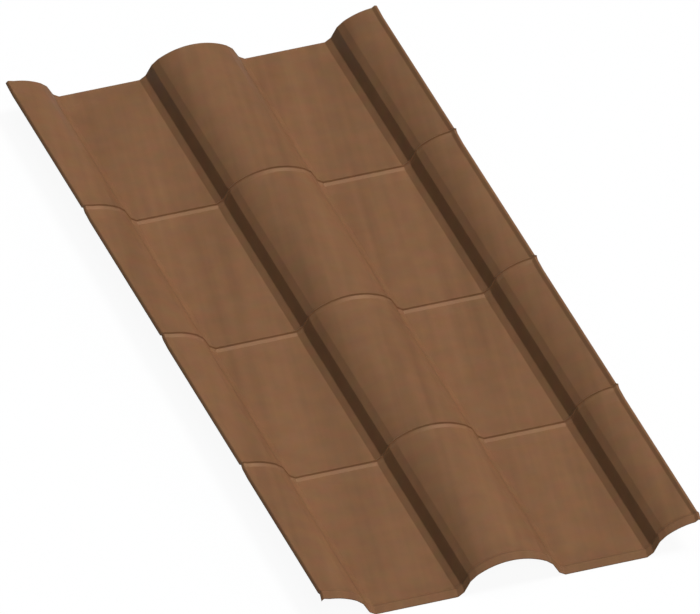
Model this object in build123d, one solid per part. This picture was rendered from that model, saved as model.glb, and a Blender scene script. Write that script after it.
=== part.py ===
from build123d import *
from math import radians, sqrt, tan
import os

# A pressed sheet metal roof panel, formed into barrels and flat pans across its
# width (X) and into stepped courses down its length (Y). +Y points up the slope to
# the head edge, -Y down to the eave, +Z is up, and the eave lip stands on Z = 0.

# Sheet and layout
sheet_thickness = 0.8
pitch = 304.8
pitch_count = 2
course_length = 361.95
course_count = 4

# Section across the panel, in heights above the pans
pan_width = 130.4
foot_rise = 6.1
foot_angle = 32.0
web_rise = 17.5
web_angle = 60.0
facet_run = 10.1
facet_angle = 39.5
crown_height = 47.1
foot_radius = 2.5
shoulder_radius = 4.0

# Beads along the side edges, which lie on the crowns of the outer barrels
left_bead_width = 11.0
left_bead_rise = 2.9
left_tail_width = 3.2
left_tail_drop = 3.7
left_top_radius = 2.4
right_bead_width = 5.8
right_bead_rise = 3.7
right_tail_width = 3.6
right_tail_drop = 1.6
bead_radius = 1.2

# One course, in heights above its lowest line: a toe, a long gentle rise and a nose
# that drops steeply to a sloping front, whose foot is where the next toe starts
toe_height = 2.6
toe_run = 24.0
course_rise = 2.5
nose_back_run = 8.2
nose_height = 7.8
drop_run = 1.5
drop_foot_height = 4.9
front_run = 5.0

# Short flat strip at the head, before the first toe
head_height = 3.0
head_run = 6.0

# Lip at the eave, which takes the place of the last nose
lip_height = 4.9
lip_back_run = 8.9
lip_run = 6.5
lip_drop = 7.8

# How far the area under the section line runs past the side edges and below the pans
overrun = 10.0
backing = 40.0

half_width = pitch * pitch_count / 2
half_pan = pan_width / 2
knee_reach = half_pan + foot_rise / tan(radians(foot_angle))
shoulder_reach = knee_reach + web_rise / tan(radians(web_angle))
shoulder_height = foot_rise + web_rise
facet_reach = shoulder_reach + facet_run
facet_height = shoulder_height + facet_run * tan(radians(facet_angle))
crown_chord = pitch / 2 - facet_reach
crown_rise = crown_height - facet_height
crown_radius = (crown_chord**2 + crown_rise**2) / (2 * crown_rise)


def crown_point(crown_x, x):
    """Point at x on the round top of the barrel whose crown is at crown_x."""
    return (x, crown_height - crown_radius + sqrt(crown_radius**2 - (x - crown_x) ** 2))


def crown_arc(crown_x, start, end):
    """Round top of a barrel between two places across the panel."""
    middle = (start + end) / 2
    return ThreePointArc(*(crown_point(crown_x, x) for x in (start, middle, end)))


def pan_corners(centre):
    """Corners of one pan and of the webs and facets on both sides of it, left to right."""
    left = [
        (centre - facet_reach, facet_height),
        (centre - shoulder_reach, shoulder_height),
        (centre - knee_reach, foot_rise),
        (centre - half_pan, 0),
    ]
    return left + [(2 * centre - x, height) for x, height in reversed(left)]


def bead_corners(side, width, rise, tail_width, tail_drop):
    """Inner foot, top and run-out end of a side edge's bead, with side -1 or +1."""
    foot_x = side * (half_width - tail_width - width)
    foot = crown_point(side * half_width, foot_x)
    top = (side * (half_width - tail_width), foot[1] + rise)
    fall = tail_drop * (1 + overrun / tail_width)
    return [foot, top, (side * (half_width + overrun), top[1] - fall)]


def wide_section():
    """Area under the section line, run out past both side edges."""
    left_bead = bead_corners(-1, left_bead_width, left_bead_rise, left_tail_width, left_tail_drop)
    right_bead = bead_corners(1, right_bead_width, right_bead_rise, right_tail_width, right_tail_drop)
    edges = [Polyline(*left_bead)]
    reached = left_bead[0][0]
    feet = []
    shoulders = []
    for i in range(pitch_count):
        crown_x = pitch * i - half_width
        corners = pan_corners(crown_x + pitch / 2)
        edges += [crown_arc(crown_x, reached, corners[0][0]), Polyline(*corners)]
        shoulders += [corners[1], corners[-2]]
        feet += corners[2:-2]
        reached = corners[-1][0]
    edges.append(crown_arc(half_width, reached, right_bead[0][0]))
    edges.append(Polyline(*right_bead))
    right_end, left_end = right_bead[-1], left_bead[-1]
    edges.append(Polyline(right_end, (right_end[0], -backing), (left_end[0], -backing), left_end))

    area = make_face(edges)
    bends = [(feet, foot_radius), (shoulders, shoulder_radius)]
    bends += [(left_bead[:1] + right_bead[:2], bead_radius), (left_bead[1:2], left_top_radius)]
    for corners, radius in bends:
        nearest = [area.vertices().sort_by_distance(Vector(*corner))[0] for corner in corners]
        area = fillet(nearest, radius)
    return area


def toe_start():
    """Bend lines of a toe as (distance from its start, height), and one before them."""
    return [(-front_run, drop_foot_height), (0, toe_height), (toe_run, 0)]


def nose_end():
    """Bend lines of a nose, from its back to the next toe, and one past them."""
    drop_foot = course_length - front_run
    crest = drop_foot - drop_run
    return [
        (crest - nose_back_run, course_rise),
        (crest, nose_height),
        (drop_foot, drop_foot_height),
        (course_length, toe_height),
        (course_length + toe_run, 0),
    ]


def lip_end():
    """Bend lines of the eave's lip, from its back to its lower edge, and one past them."""
    crest = course_length - head_run - lip_run
    past = lip_run + overrun
    return [(crest - lip_back_run, course_rise), (crest, lip_height)] + [
        (crest + run, lip_height - lip_drop * run / lip_run) for run in (lip_run, past)]


def head_strip():
    """Bend lines of the strip before the first toe, and one past each end."""
    edge = -head_run
    return [(edge - overrun, head_height), (edge, head_height), (0, toe_height), (toe_run, 0)]


def underside(stations):
    """Stations moved so that a sloping stretch keeps the sheet's thickness too."""
    points = [Vector(*station) for station in stations]
    stretches = [(end - start).normalized() for start, end in zip(points, points[1:])]
    normals = [stretch.rotate(Axis.Z, -90) for stretch in stretches]
    normals = [normals[0]] + normals + [normals[-1]]
    moved = []
    for point, before, after in zip(points, normals, normals[1:]):
        across = (before + after).normalized()
        shifted = point + across * (sheet_thickness / across.dot(before))
        moved.append((shifted.X, shifted.Y + sheet_thickness))
    return moved


def formed_body(area, stations):
    """Body whose top repeats the area's upper line at each station's height."""
    stretches = []
    for (start, low), (end, high) in zip(stations, stations[1:]):
        section = Pos(0, -start, low) * Rot(90, 0, 0) * area.face()
        stretches.append(Solid.extrude(section, Vector(0, start - end, high - low)))
    return stretches[0].fuse(*stretches[1:])


def formed_sheet(stations):
    """Stretch of the sheet along the stations, with distance 0 at Y = 0 and more towards -Y."""
    section = wide_section()
    window = Pos(0, crown_height) * Rectangle(2 * half_width, 2 * crown_height + backing)
    upper = formed_body(section & window, stations[1:-1])
    lower = formed_body(offset(section, amount=-sheet_thickness), underside(stations))
    return (upper - lower).solid()


def shingle_panel():
    """All courses as one sheet, with the lip's lower edge on the ground."""
    course = formed_sheet(toe_start() + nose_end())
    eave = formed_sheet(toe_start() + lip_end())
    first_toe = course_length * course_count / 2 - head_run
    lengths = [formed_sheet(head_strip())] + [course] * (course_count - 1) + [eave]
    toes = [first_toe] + [first_toe - course_length * i for i in range(course_count)]
    placed = [Pos(0, toe, 0) * length for toe, length in zip(toes, lengths)]
    sheet = placed[0].fuse(*placed[1:]).clean()
    return Pos(0, 0, -sheet.bounding_box().min.Z) * sheet


os.makedirs("parts", exist_ok=True)
export_step(shingle_panel(), "parts/shingle_panel.step")
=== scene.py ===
import math

import bpy
import numpy as np
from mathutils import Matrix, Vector


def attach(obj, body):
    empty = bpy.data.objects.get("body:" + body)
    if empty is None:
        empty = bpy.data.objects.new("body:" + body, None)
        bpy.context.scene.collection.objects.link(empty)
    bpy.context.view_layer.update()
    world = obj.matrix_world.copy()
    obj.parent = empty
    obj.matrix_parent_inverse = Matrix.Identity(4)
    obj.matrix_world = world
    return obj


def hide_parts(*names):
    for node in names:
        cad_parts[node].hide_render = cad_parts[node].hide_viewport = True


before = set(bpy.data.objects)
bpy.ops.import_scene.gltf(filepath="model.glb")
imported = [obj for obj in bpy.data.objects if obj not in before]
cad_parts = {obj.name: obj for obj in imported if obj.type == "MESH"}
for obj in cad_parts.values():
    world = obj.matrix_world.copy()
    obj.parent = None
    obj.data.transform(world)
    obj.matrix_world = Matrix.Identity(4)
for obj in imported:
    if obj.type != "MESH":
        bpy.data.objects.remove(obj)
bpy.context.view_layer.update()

mm = 0.001
print("frame loaded")

# the pressed sheet, lengths in mm; heights are above the pans and above a course's lowest line
sheetForm = {
    "thickness": 0.8,
    "pitch": 304.8,
    "pitches": 2,
    "courseLength": 361.95,
    "courses": 4,
    "panWidth": 131.6,
    "panShift": 0.6,          # how far the pans lie right of the middle between the crowns
    "footRise": 6.1,
    "footAngle": 32.0,
    "webRise": 17.5,
    "webAngle": 60.0,
    "facetRun": 10.1,         # flat strip between a web and the round top
    "facetAngle": 39.5,
    "crownHeight": 47.1,
    "bendReach": 0.9,         # how far a bend is rounded to each side of its line
    "rimReach": 2.4,          # the same for the rounder top of the left rim
    "leftBead": (11.0, 2.9),  # width and rise
    "rightBead": (5.1, 3.7),
    "leftTail": (3.2, 3.7),   # width and drop of the side edge's rim
    "rightTail": (3.6, 1.6),
    "midLine": {"low": 1.4, "top": 2.1, "nose": 8.6},   # heights along a course
    "edgeLine": {"low": 0.3, "top": 2.5, "nose": 8.1},  # the same at the side edges
    "edgeReach": (5.0, 45.0),  # distances from a side edge between which one becomes the other
    "headHeight": 3.0,
    "noseBackRun": 7.8,
    "nosePast": 0.2,          # how far the nose's crest lies past the end of its course
    "dropEnd": (0.8, 5.4),    # foot of the steep drop, in the next course, and its height
    "frontEnd": (6.1, 2.4),   # foot of the slope in front of it
    "toeRun": 30.0,
    "lipFoot": 1.8,
    "lipHeight": 5.0,
    "lipBackRun": 8.9,
    "lipRun": 7.7,
    "lipDrop": 7.8,
    "foldReach": 0.3,         # how far a bend along the panel is rounded
    "overrun": 5.0,           # how far the forming lines are worked out past the cut edges
}

# how finely the sheet's lines are worked out and divided, lengths in mm
sheetDetail = {
    "averaged": 21,           # places that a rounded bend averages
    "outerWeight": 0.05,      # weight of the outermost of them, where the middle one has 1 more
    "depths": 25,             # places that are tried for the underside
    "lengthSteps": 6000,      # steps in which the flat width is added up
    "bendPoints": 5,          # points across a bend
    "bendSpread": 1.2,        # how far they go to each side, in reaches of the bend
    "leastGap": 0.35,         # least distance between two places, in reaches of the bend
    "arcStep": 4.0,
    "flatStep": 40.0,
    "sharpAngle": 60.0,
}


def halfWidthOf(f):
    return f["pitch"] * f["pitches"] / 2


def sideEdges(f):
    # each side edge's sign, bead and rim
    return (-1, f["leftBead"], f["leftTail"]), (1, f["rightBead"], f["rightTail"])


def sectionCorners(f):
    # bends between a pan and a round top, as distances from the pan's middle line and heights
    facetRise = f["facetRun"] * math.tan(math.radians(f["facetAngle"]))
    slopes = ((f["footRise"], f["footAngle"]), (f["webRise"], f["webAngle"]),
              (facetRise, f["facetAngle"]))
    reaches, heights = [f["panWidth"] / 2], [0]
    for rise, angle in slopes:
        reaches.append(reaches[-1] + rise / math.tan(math.radians(angle)))
        heights.append(heights[-1] + rise)
    return reaches, heights


def sectionHeight(f, x):
    # height of the sheet's top over the pans, across the panel, with sharp bends
    reaches, heights = sectionCorners(f)
    halfPitch = f["pitch"] / 2
    fromPan = np.abs((x - f["panShift"] + halfWidthOf(f)) % f["pitch"] - halfPitch)
    chord = halfPitch - reaches[-1]
    rise = f["crownHeight"] - heights[-1]
    radius = (chord ** 2 + rise ** 2) / (2 * rise)
    centre = f["crownHeight"] - radius
    barrel = centre + np.sqrt(radius ** 2 - np.minimum(halfPitch - fromPan, chord) ** 2)
    height = np.where(fromPan > reaches[-1], barrel, np.interp(fromPan, reaches, heights))
    for side, (beadWidth, beadRise), (tailWidth, tailDrop) in sideEdges(f):
        fromEdge = halfWidthOf(f) - side * x
        foot = tailWidth + beadWidth
        footHeight = centre + math.sqrt(radius ** 2 - foot ** 2)
        top = footHeight + beadRise
        end = top - tailDrop * (1 + f["overrun"] / tailWidth)
        bead = np.interp(fromEdge, [-f["overrun"], tailWidth, foot], [end, top, footHeight])
        height = np.where(fromEdge < foot, bead, height)
    return height


def courseCorners(f, line, last):
    # bends of one course's line, as distances from its head and heights
    length = f["courseLength"]
    toe = [f["frontEnd"], (f["toeRun"], line["low"])]
    if last:
        crest = length - f["lipRun"]
        lip = [(crest - f["lipBackRun"], f["lipFoot"]), (crest, f["lipHeight"])]
        return toe + lip + [(length, f["lipHeight"] - f["lipDrop"])]
    crest = length + f["nosePast"]
    nose = [(crest - f["noseBackRun"], line["top"]), (crest, line["nose"])]
    return toe + nose + [(length + f["dropEnd"][0], f["dropEnd"][1])]


def panelCorners(f, line):
    # the same for the whole panel, as places from the eave to the head and heights
    corners = [(-f["overrun"], f["headHeight"]), (0, f["headHeight"])]
    for i in range(f["courses"]):
        course = courseCorners(f, line, i == f["courses"] - 1)
        corners += [(f["courseLength"] * i + distance, height) for distance, height in course]
    end, height = corners[-1]
    corners.append((end + f["overrun"], height - f["overrun"] * f["lipDrop"] / f["lipRun"]))
    head = f["courseLength"] * f["courses"] / 2
    distances, heights = zip(*corners[::-1])
    return [head - distance for distance in distances], heights


def rounded(line, reach):
    # running average, which turns each bend of the line into a small radius
    offsets = np.linspace(-1, 1, sheetDetail["averaged"]) * reach
    weights = 1 + sheetDetail["outerWeight"] - np.abs(offsets) / reach
    weights = weights / weights.sum()
    return lambda places: line(places[..., None] + offsets) @ weights


def thinned(line, thickness):
    # the line under it that leaves a sheet of this thickness
    offsets = np.linspace(-1, 1, sheetDetail["depths"]) * thickness
    depths = np.sqrt(thickness ** 2 - offsets ** 2)
    return lambda places: (line(places[..., None] + offsets) - depths).min(axis=-1)


def roundedSection(f):
    # the section line with its bends rounded, most of all at the top of the left rim
    line = rounded(lambda x: sectionHeight(f, x), f["bendReach"])
    rim = rounded(lambda x: sectionHeight(f, x), f["rimReach"])
    rimEnd = f["leftTail"][0] + f["leftBead"][0] / 2 - halfWidthOf(f)
    return lambda x: np.where(x < rimEnd, rim(x), line(x))


def roundedCourses(f, line):
    # the line along the panel with its bends rounded
    corners = panelCorners(f, line)
    return rounded(lambda y: np.interp(y, *corners), f["foldReach"])


def spacedPlaces(bends, reach, stepFor):
    # places from the first bend to the last, with close ones across each bend
    spread = sheetDetail["bendSpread"]
    places = {bends[0], bends[-1]}
    for start, end in zip(bends, bends[1:]):
        count = max(1, math.ceil((end - start) / stepFor((start + end) / 2)))
        places.update(np.linspace(start, end, count + 1).round(3))
        for bend in (start, end):
            near = bend + np.linspace(-spread, spread, sheetDetail["bendPoints"]) * reach
            places.update(near[(near > bends[0]) & (near < bends[-1])].round(3))
    ordered = sorted(places)
    kept = [ordered[0]]
    for place in ordered[1:]:
        if place - kept[-1] > reach * sheetDetail["leastGap"]:
            kept.append(place)
    kept[-1] = ordered[-1]
    return np.array(kept)


def acrossPlaces(f):
    # the mesh's columns, from the left edge to the right one
    halfWidth = halfWidthOf(f)
    reaches = sectionCorners(f)[0]
    bends = [-halfWidth, halfWidth]
    for i in range(f["pitches"]):
        middle = (i + 0.5) * f["pitch"] - halfWidth + f["panShift"]
        bends += [middle + side * reach for side in (-1, 1) for reach in reaches]
    for side, (beadWidth, _), (tailWidth, _) in sideEdges(f):
        bends += [side * (halfWidth - tailWidth), side * (halfWidth - tailWidth - beadWidth)]
    rimTop = f["leftTail"][0] - halfWidth
    bends += [rimTop + f["rimReach"] * share for share in (-0.5, 0.5, 1)]

    def stepFor(x):
        fromPan = abs((x + halfWidth) % f["pitch"] - f["pitch"] / 2)
        return sheetDetail["arcStep"] if fromPan > reaches[-1] else sheetDetail["flatStep"]

    return spacedPlaces(sorted(bends), f["bendReach"], stepFor)


def alongPlaces(f):
    # the mesh's rows, from the eave to the head
    bends = panelCorners(f, f["edgeLine"])[0][1:-1]
    return spacedPlaces(bends, f["foldReach"], lambda y: sheetDetail["flatStep"])


def flattened(section, xs):
    # places across the sheet before it was formed, from its middle line
    fine = np.linspace(xs[0], xs[-1], sheetDetail["lengthSteps"] + 1)
    lengths = np.hypot(np.diff(fine), np.diff(section(fine)))
    run = np.concatenate([[0], np.cumsum(lengths)])
    return np.interp(xs, fine, run - np.interp(0, fine, run))


def sheetPoints(f):
    # points of the sheet's top and of its underside, in rows from the eave to the head, and
    # the columns' places on the flat sheet
    xs, ys = acrossPlaces(f), alongPlaces(f)
    thickness = f["thickness"]
    section = roundedSection(f)
    mid, edge = roundedCourses(f, f["midLine"]), roundedCourses(f, f["edgeLine"])
    inside = np.interp(halfWidthOf(f) - np.abs(xs), f["edgeReach"], (0, 1))
    top = section(xs) + np.outer(mid(ys), inside) + np.outer(edge(ys), 1 - inside)
    midUnder, edgeUnder = (thinned(line, thickness)(ys) + thickness for line in (mid, edge))
    under = thinned(section, thickness)(xs)
    under = under + np.outer(midUnder, inside) + np.outer(edgeUnder, 1 - inside)
    gx, gy = np.meshgrid(xs, ys)
    sides = [np.stack([gx, gy, gz], axis=-1) for gz in (top, under)]
    return sides, flattened(section, xs)


def sheetFaces(rows, columns):
    # faces of the top, of the underside and of the four cut edges between them
    first = np.arange(rows * columns).reshape(rows, columns)
    below = rows * columns
    corners = (first[:-1, :-1], first[:-1, 1:], first[1:, 1:], first[1:, :-1])
    top = np.stack(corners, axis=-1).reshape(-1, 4)
    faces = [top, top[:, ::-1] + below]
    for edge in (first[0, ::-1], first[-1], first[:, 0], first[::-1, -1]):
        start, end = edge[:-1], edge[1:]
        faces.append(np.stack([start, end, end + below, start + below], axis=-1))
    return np.concatenate(faces)


def keepFlatPlaces(mesh, places):
    # layer that says where each point was on the flat sheet, in metres
    corners = np.zeros(len(mesh.loops), dtype=np.int32)
    mesh.loops.foreach_get("vertex_index", corners)
    layer = mesh.uv_layers.new(name="flatSheet")
    layer.data.foreach_set("uv", places[corners].astype(np.float32).ravel())


def makeSheet(f):
    (top, under), flatPlaces = sheetPoints(f)
    rows, columns = top.shape[:2]
    print("grid of", columns, "points across and", rows, "along")
    points = np.concatenate([top.reshape(-1, 3), under.reshape(-1, 3)])
    points[:, 2] -= points[:, 2].min()  # the lip's lower edge stands on the floor
    mesh = bpy.data.meshes.new("formedSheet")
    mesh.from_pydata((points * mm).tolist(), [], sheetFaces(rows, columns).tolist())
    mesh.update()
    keepFlatPlaces(mesh, np.stack([np.tile(flatPlaces, rows * 2), points[:, 1]], axis=-1) * mm)
    mesh.shade_smooth()
    mesh.set_sharp_from_angle(angle=math.radians(sheetDetail["sharpAngle"]))
    sheet = bpy.data.objects.new("formedSheet", mesh)
    bpy.context.scene.collection.objects.link(sheet)
    flats = sheet.modifiers.new("flats", "WEIGHTED_NORMAL")  # keeps the flat faces flat
    flats.keep_sharp = True
    return sheet


formedSheet = makeSheet(sheetForm)
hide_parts("shingle_panel")
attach(formedSheet, "root")
print("sheet formed,", len(formedSheet.data.polygons), "faces")

# the baked-on coating, whose colour also carries painted sheen bands; lengths in metres on the
# flat sheet, lean is sideways shift per length
coatingLook = {
    "colour": (0.2190, 0.1045, 0.0496),
    "specular": 0.35,
    "specularTint": (1, 0.66, 0.42, 1),
    "roughness": 0.5,
    "roughnessSpread": 0.05,
    # painted sheen: light and dark leaning bands put into the colour, like reflections of
    # slight waves in the sheet
    "sheenBands": {"spacing": 0.144, "lean": 0.23, "start": 0.0055, "depth": 0.054},
    "bandWobble": {"turn": 0.5, "alongShare": 0.3, "detail": 1.0},
    "bandEnds": (0.64, 0.70),  # distances from the middle between which the bands fade out
    "streaks": {"width": 0.016, "length": 0.5, "lean": 0.185, "depth": 0.25, "detail": 2.0},
    "clouds": {"size": 0.045, "depth": 0.15, "detail": 3.0},
    "hues": {"size": 0.028, "depth": 0.18, "detail": 2.0},
    "waves": {"size": 0.09, "height": 0.0001, "detail": 2.0},
    "grain": {"size": 0.0011, "height": 0.000012, "detail": 2.0},
}


def addNode(tree, kind, inputs=None, **settings):
    # new node; an input, by number or name, is a value or another node's output
    node = tree.nodes.new(kind)
    for name, value in settings.items():
        setattr(node, name, value)
    for place, value in (inputs or {}).items():
        if isinstance(value, bpy.types.NodeSocket):
            tree.links.new(value, node.inputs[place])
        else:
            node.inputs[place].default_value = value
    return node


def addStep(tree, operation, first, second=0.0, third=0.0):
    # one step of arithmetic
    inputs = {0: first, 1: second, 2: third}
    return addNode(tree, "ShaderNodeMath", inputs, operation=operation).outputs[0]


def addNoise(tree, place, size, detail, dimensions):
    inputs = {"Vector": place, "Scale": 1 / size, "Detail": detail}
    return addNode(tree, "ShaderNodeTexNoise", inputs, noise_dimensions=dimensions)


def softNoise(tree, across, acrossSize, along, alongSize, detail):
    # soft random value around 0, on the flat sheet
    x = addStep(tree, "MULTIPLY", across, 1 / acrossSize)
    y = addStep(tree, "MULTIPLY", along, 1 / alongSize)
    place = addNode(tree, "ShaderNodeCombineXYZ", {"X": x, "Y": y}).outputs[0]
    noise = addNoise(tree, place, 1.0, detail, "2D").outputs[0]
    return addStep(tree, "SUBTRACT", noise, 0.5)


def leaning(tree, across, along, lean):
    # place across the sheet, counted from a line that leans by this much
    return addStep(tree, "MULTIPLY_ADD", along, -lean, across)


def paintedSheenBands(tree, look, across, along):
    # painted sheen: brightness of broad leaning bands, like the reflections of slight waves in
    # the sheet, which fade out at the panel's ends
    sheenBands, wobble = look["sheenBands"], look["bandWobble"]
    spacing = sheenBands["spacing"]
    uneven = softNoise(tree, across, spacing, along, spacing / wobble["alongShare"],
                       wobble["detail"])
    place = leaning(tree, across, along, sheenBands["lean"])
    turn = addStep(tree, "SUBTRACT", place, sheenBands["start"])
    turn = addStep(tree, "MULTIPLY", turn, math.tau / spacing)
    turn = addStep(tree, "MULTIPLY_ADD", uneven, wobble["turn"], turn)
    fadeStart, fadeEnd = look["bandEnds"]
    inputs = {0: addStep(tree, "ABSOLUTE", along), 1: fadeStart, 2: fadeEnd,
              3: sheenBands["depth"], 4: 0.0}
    depth = addNode(tree, "ShaderNodeMapRange", inputs, interpolation_type="SMOOTHSTEP")
    return addStep(tree, "MULTIPLY_ADD", addStep(tree, "COSINE", turn), depth.outputs[0], 1.0)


def toneAndPaintedSheen(tree, look, across, along):
    # brightness over the coating from painted sheen bands, finer streaks and soft clouds, and
    # the streaks
    streaks, clouds = look["streaks"], look["clouds"]
    streak = softNoise(tree, leaning(tree, across, along, streaks["lean"]), streaks["width"],
                       along, streaks["length"], streaks["detail"])
    cloud = softNoise(tree, across, clouds["size"], along, clouds["size"], clouds["detail"])
    shade = paintedSheenBands(tree, look, across, along)
    shade = addStep(tree, "MULTIPLY_ADD", streak, streaks["depth"], shade)
    return addStep(tree, "MULTIPLY_ADD", cloud, clouds["depth"], shade), streak


def colourWithPaintedSheen(tree, look, flat, shade):
    # the coating's colour, with the painted sheen and the random tone of the shade, and with
    # faint patches of other hues
    hues = look["hues"]
    patches = addNoise(tree, flat, hues["size"], hues["detail"], "2D").outputs[1]
    inputs = {0: patches, 1: (hues["depth"],) * 3, 2: (1 - hues["depth"] / 2,) * 3}
    tint = addNode(tree, "ShaderNodeVectorMath", inputs, operation="MULTIPLY_ADD").outputs[0]
    inputs = {0: look["colour"], "Scale": shade}
    colour = addNode(tree, "ShaderNodeVectorMath", inputs, operation="SCALE").outputs[0]
    inputs = {0: colour, 1: tint}
    return addNode(tree, "ShaderNodeVectorMath", inputs, operation="MULTIPLY").outputs[0]


def coatingRelief(tree, look):
    # slow waves in the sheet and the coating's fine grain
    place = addNode(tree, "ShaderNodeTexCoord").outputs["Object"]
    inputs = {"Strength": 1.0}
    for part in (look["waves"], look["grain"]):
        inputs["Height"] = addNoise(tree, place, part["size"], part["detail"], "3D").outputs[0]
        inputs["Distance"] = part["height"]
        inputs["Normal"] = addNode(tree, "ShaderNodeBump", inputs).outputs[0]
    return inputs["Normal"]


def makeCoating(look):
    coating = bpy.data.materials.new("bronzeCoating")
    coating.use_nodes = True
    tree = coating.node_tree
    shader = tree.nodes["Principled BSDF"]
    flat = addNode(tree, "ShaderNodeUVMap", uv_map="flatSheet").outputs[0]
    across, along, _ = addNode(tree, "ShaderNodeSeparateXYZ", {0: flat}).outputs
    shade, streak = toneAndPaintedSheen(tree, look, across, along)
    # the base colour carries painted sheen bands as well as the coating's random streaks,
    # clouds and hues
    tree.links.new(colourWithPaintedSheen(tree, look, flat, shade), shader.inputs["Base Color"])
    spread = look["roughnessSpread"] * 2  # streaks go from -0.5 to 0.5
    roughness = addStep(tree, "MULTIPLY_ADD", streak, spread, look["roughness"])
    tree.links.new(roughness, shader.inputs["Roughness"])
    shader.inputs["Specular IOR Level"].default_value = look["specular"]
    shader.inputs["Specular Tint"].default_value = look["specularTint"]
    tree.links.new(coatingRelief(tree, look), shader.inputs["Normal"])
    return coating


formedSheet.data.materials.append(makeCoating(coatingLook))
print("coating made")

# studio: pale floor, white surround and soft lamps
studio = {
    "floorSize": 8.0,
    "floorColour": (0.35, 0.35, 0.35, 1),
    "floorGlow": 0.82,        # share of the floor that shows as light of its own
    "glowStrength": 1.145,    # makes up for the rest of the floor, so that it shows white
    "whiteInGloss": 0.06,     # share of the white surround that the satin coating mirrors
    "lampSoftness": 20.0,
    "lampDistance": 4.0,
    "lamps": {
        "right": {"from": (90, 65), "strength": 2.24, "colour": (1, 1, 1)},
        "front": {"from": (0, 45), "strength": 0.51, "colour": (1, 1, 1)},
        "back": {"from": (180, 65), "strength": 0.40, "colour": (1, 1, 1)},
        "lowRight": {"from": (90, 25), "strength": 0.315, "colour": (1, 1, 1)},
        "lowFront": {"from": (0, 10), "strength": 0.46, "colour": (1, 1, 1)},
        "left": {"from": (270, 40), "strength": 0.20, "colour": (0.0, 0.58, 0.85)},
    },
}


def directionFrom(bearing, height):
    # unit vector towards a lamp; bearing 0 is the eave side (-Y) and 90 the right (+X)
    b, h = math.radians(bearing), math.radians(height)
    return Vector((math.sin(b) * math.cos(h), -math.cos(b) * math.cos(h), math.sin(h)))


def seenWhite(tree, inGloss):
    # 1 for what the camera sees directly or through glass, and a share of that for gloss
    path = addNode(tree, "ShaderNodeLightPath").outputs
    direct = addStep(tree, "MAXIMUM", path["Is Camera Ray"], path["Is Transmission Ray"])
    return addStep(tree, "MULTIPLY_ADD", path["Is Glossy Ray"], inGloss, direct)


def makeFloor(s):
    half = s["floorSize"] / 2
    corners = [(-half, -half, 0), (half, -half, 0), (half, half, 0), (-half, half, 0)]
    mesh = bpy.data.meshes.new("floor")
    mesh.from_pydata(corners, [], [(0, 1, 2, 3)])
    floor = bpy.data.objects.new("floor", mesh)
    bpy.context.scene.collection.objects.link(floor)
    paint = bpy.data.materials.new("floorPaint")
    paint.use_nodes = True
    tree = paint.node_tree
    tree.nodes.clear()
    matte = addNode(tree, "ShaderNodeBsdfDiffuse", {"Color": s["floorColour"]}).outputs[0]
    glow = addNode(tree, "ShaderNodeEmission", {"Strength": s["glowStrength"]}).outputs[0]
    share = addStep(tree, "MULTIPLY", seenWhite(tree, s["whiteInGloss"]), s["floorGlow"])
    mix = addNode(tree, "ShaderNodeMixShader", {0: share, 1: matte, 2: glow}).outputs[0]
    addNode(tree, "ShaderNodeOutputMaterial", {"Surface": mix})
    mesh.materials.append(paint)


def makeSurround(s):
    # white where it is seen, and no light on the panel
    world = bpy.data.worlds.new("surround")
    world.use_nodes = True
    bpy.context.scene.world = world
    tree = world.node_tree
    tree.nodes.clear()
    inputs = {"Color": (1, 1, 1, 1), "Strength": seenWhite(tree, s["whiteInGloss"])}
    white = addNode(tree, "ShaderNodeBackground", inputs).outputs[0]
    addNode(tree, "ShaderNodeOutputWorld", {"Surface": white})


def makeLamps(s):
    for name, lamp in s["lamps"].items():
        light = bpy.data.lights.new(name, "SUN")
        light.energy = lamp["strength"]
        light.color = lamp["colour"]
        light.angle = math.radians(s["lampSoftness"])
        holder = bpy.data.objects.new(name, light)
        towards = directionFrom(*lamp["from"])
        holder.location = towards * s["lampDistance"]
        holder.rotation_mode = "QUATERNION"
        holder.rotation_quaternion = towards.to_track_quat("Z", "Y")
        bpy.context.scene.collection.objects.link(holder)


makeFloor(studio)
makeSurround(studio)
makeLamps(studio)
print("studio set up")

# camera: a very long lens, because the picture has next to no perspective
cameraView = {
    "azimuth": -19.754,
    "elevation": 35.134,
    "lens": 1500.0,
    "sensorWidth": 36.0,
    "frameWidth": 1.07136,    # metres seen across the frame at the panel
    "aim": (0.00634, 0.01579, 0.02416),
}


def makeCamera(c):
    camera = bpy.data.cameras.new("camera")
    camera.lens = c["lens"]
    camera.sensor_width = c["sensorWidth"]
    distance = c["frameWidth"] * c["lens"] / c["sensorWidth"]
    camera.clip_end = distance * 2
    holder = bpy.data.objects.new("camera", camera)
    back = directionFrom(c["azimuth"], c["elevation"])
    holder.location = Vector(c["aim"]) + back * distance
    holder.rotation_mode = "QUATERNION"
    holder.rotation_quaternion = (-back).to_track_quat("-Z", "Y")
    bpy.context.scene.collection.objects.link(holder)
    bpy.context.scene.camera = holder


makeCamera(cameraView)
bpy.context.scene.view_settings.view_transform = "Standard"
print("camera set")
